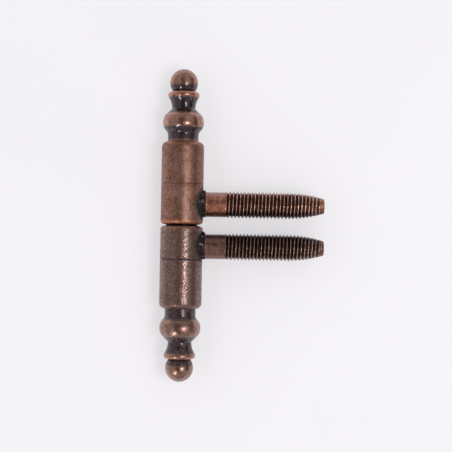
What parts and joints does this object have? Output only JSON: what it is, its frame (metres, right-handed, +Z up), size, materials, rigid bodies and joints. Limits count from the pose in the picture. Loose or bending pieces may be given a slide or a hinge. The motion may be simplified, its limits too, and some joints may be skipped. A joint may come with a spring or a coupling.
{
  "type": "screw-in door hinge",
  "caption": "Screw-in lift-off door hinge: round barrel with turned ball finials, a fixed pin inside, and a threaded stud standing out of each half.",
  "frame": {"origin": "on the pin axis, in the middle of the gap between the two halves", "axes": "+Z up along the pin towards the upper finial, +X along the studs towards their tips, -Y towards the viewer of the picture"},
  "size_m": [0.0618, 0.016, 0.1182],
  "materials": {
    "antique_copper": "antique copper plate on steel, darkened, relieved on the raised faces and lacquered",
    "stud_copper": "darker antique copper plate on rolled steel",
    "bare_steel": "ground steel, lightly greased",
    "washer_steel": "plain stamped steel"
  },
  "bodies": {
    "frame_half": {"lower_knuckle": "antique_copper", "lower_stud": "stud_copper", "lower_finial": "antique_copper", "hinge_pin": "bare_steel"},
    "washer": {"thrust_washer": "washer_steel"},
    "door_half": {"upper_finial": "antique_copper", "upper_knuckle": "antique_copper", "upper_stud": "stud_copper"}
  },
  "joints": [
    {"name": "door_swing", "type": "hinge", "parent": "frame_half", "child": "washer", "pos_m": [0, 0, 0], "axis": [0, 0, 1], "continuous": true},
    {"name": "lift_off", "type": "slide", "parent": "washer", "child": "door_half", "axis": [0, 0, 1], "range_m": [0, 0.03]}
  ]
}
